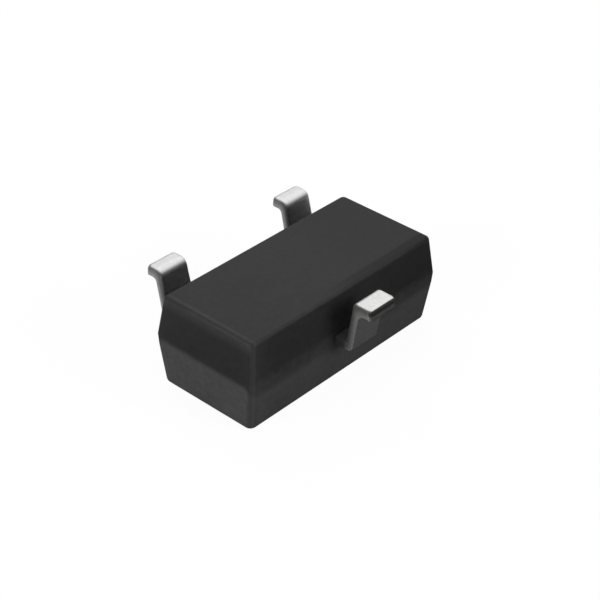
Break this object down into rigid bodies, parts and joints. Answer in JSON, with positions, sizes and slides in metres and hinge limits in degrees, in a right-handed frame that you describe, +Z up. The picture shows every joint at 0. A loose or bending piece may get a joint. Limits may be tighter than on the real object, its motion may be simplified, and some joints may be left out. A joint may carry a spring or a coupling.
{
  "type": "three-lead surface-mount chip",
  "caption": "Small-outline moulded semiconductor chip with gull-wing leads for surface mounting, lying on its marked face with its feet up.",
  "frame": {"origin": "centre of the marked face, which lies on the table, under the middle of the body", "axes": "+X along the row of leads, from the end nearest the camera to the far end, with lead 1 at -X; +Y across the body towards the side with two leads; +Z up from the marked face to the soles of the feet"},
  "size_m": [0.0028, 0.0022, 0.0011],
  "materials": {
    "mould_compound": "satin",
    "tinned_copper": "satin",
    "silver_die_attach": "matte",
    "silicon": "gloss",
    "gold": "polished"
  },
  "bodies": {
    "root": {"moulded_body": "mould_compound", "lead_1": "tinned_copper", "lead_2": "tinned_copper", "lead_3": "tinned_copper", "die_attach": "silver_die_attach", "die": "silicon", "bond_wire_1": "gold", "bond_wire_2": "gold", "bond_wire_3": "gold"}
  },
  "joints": []
}
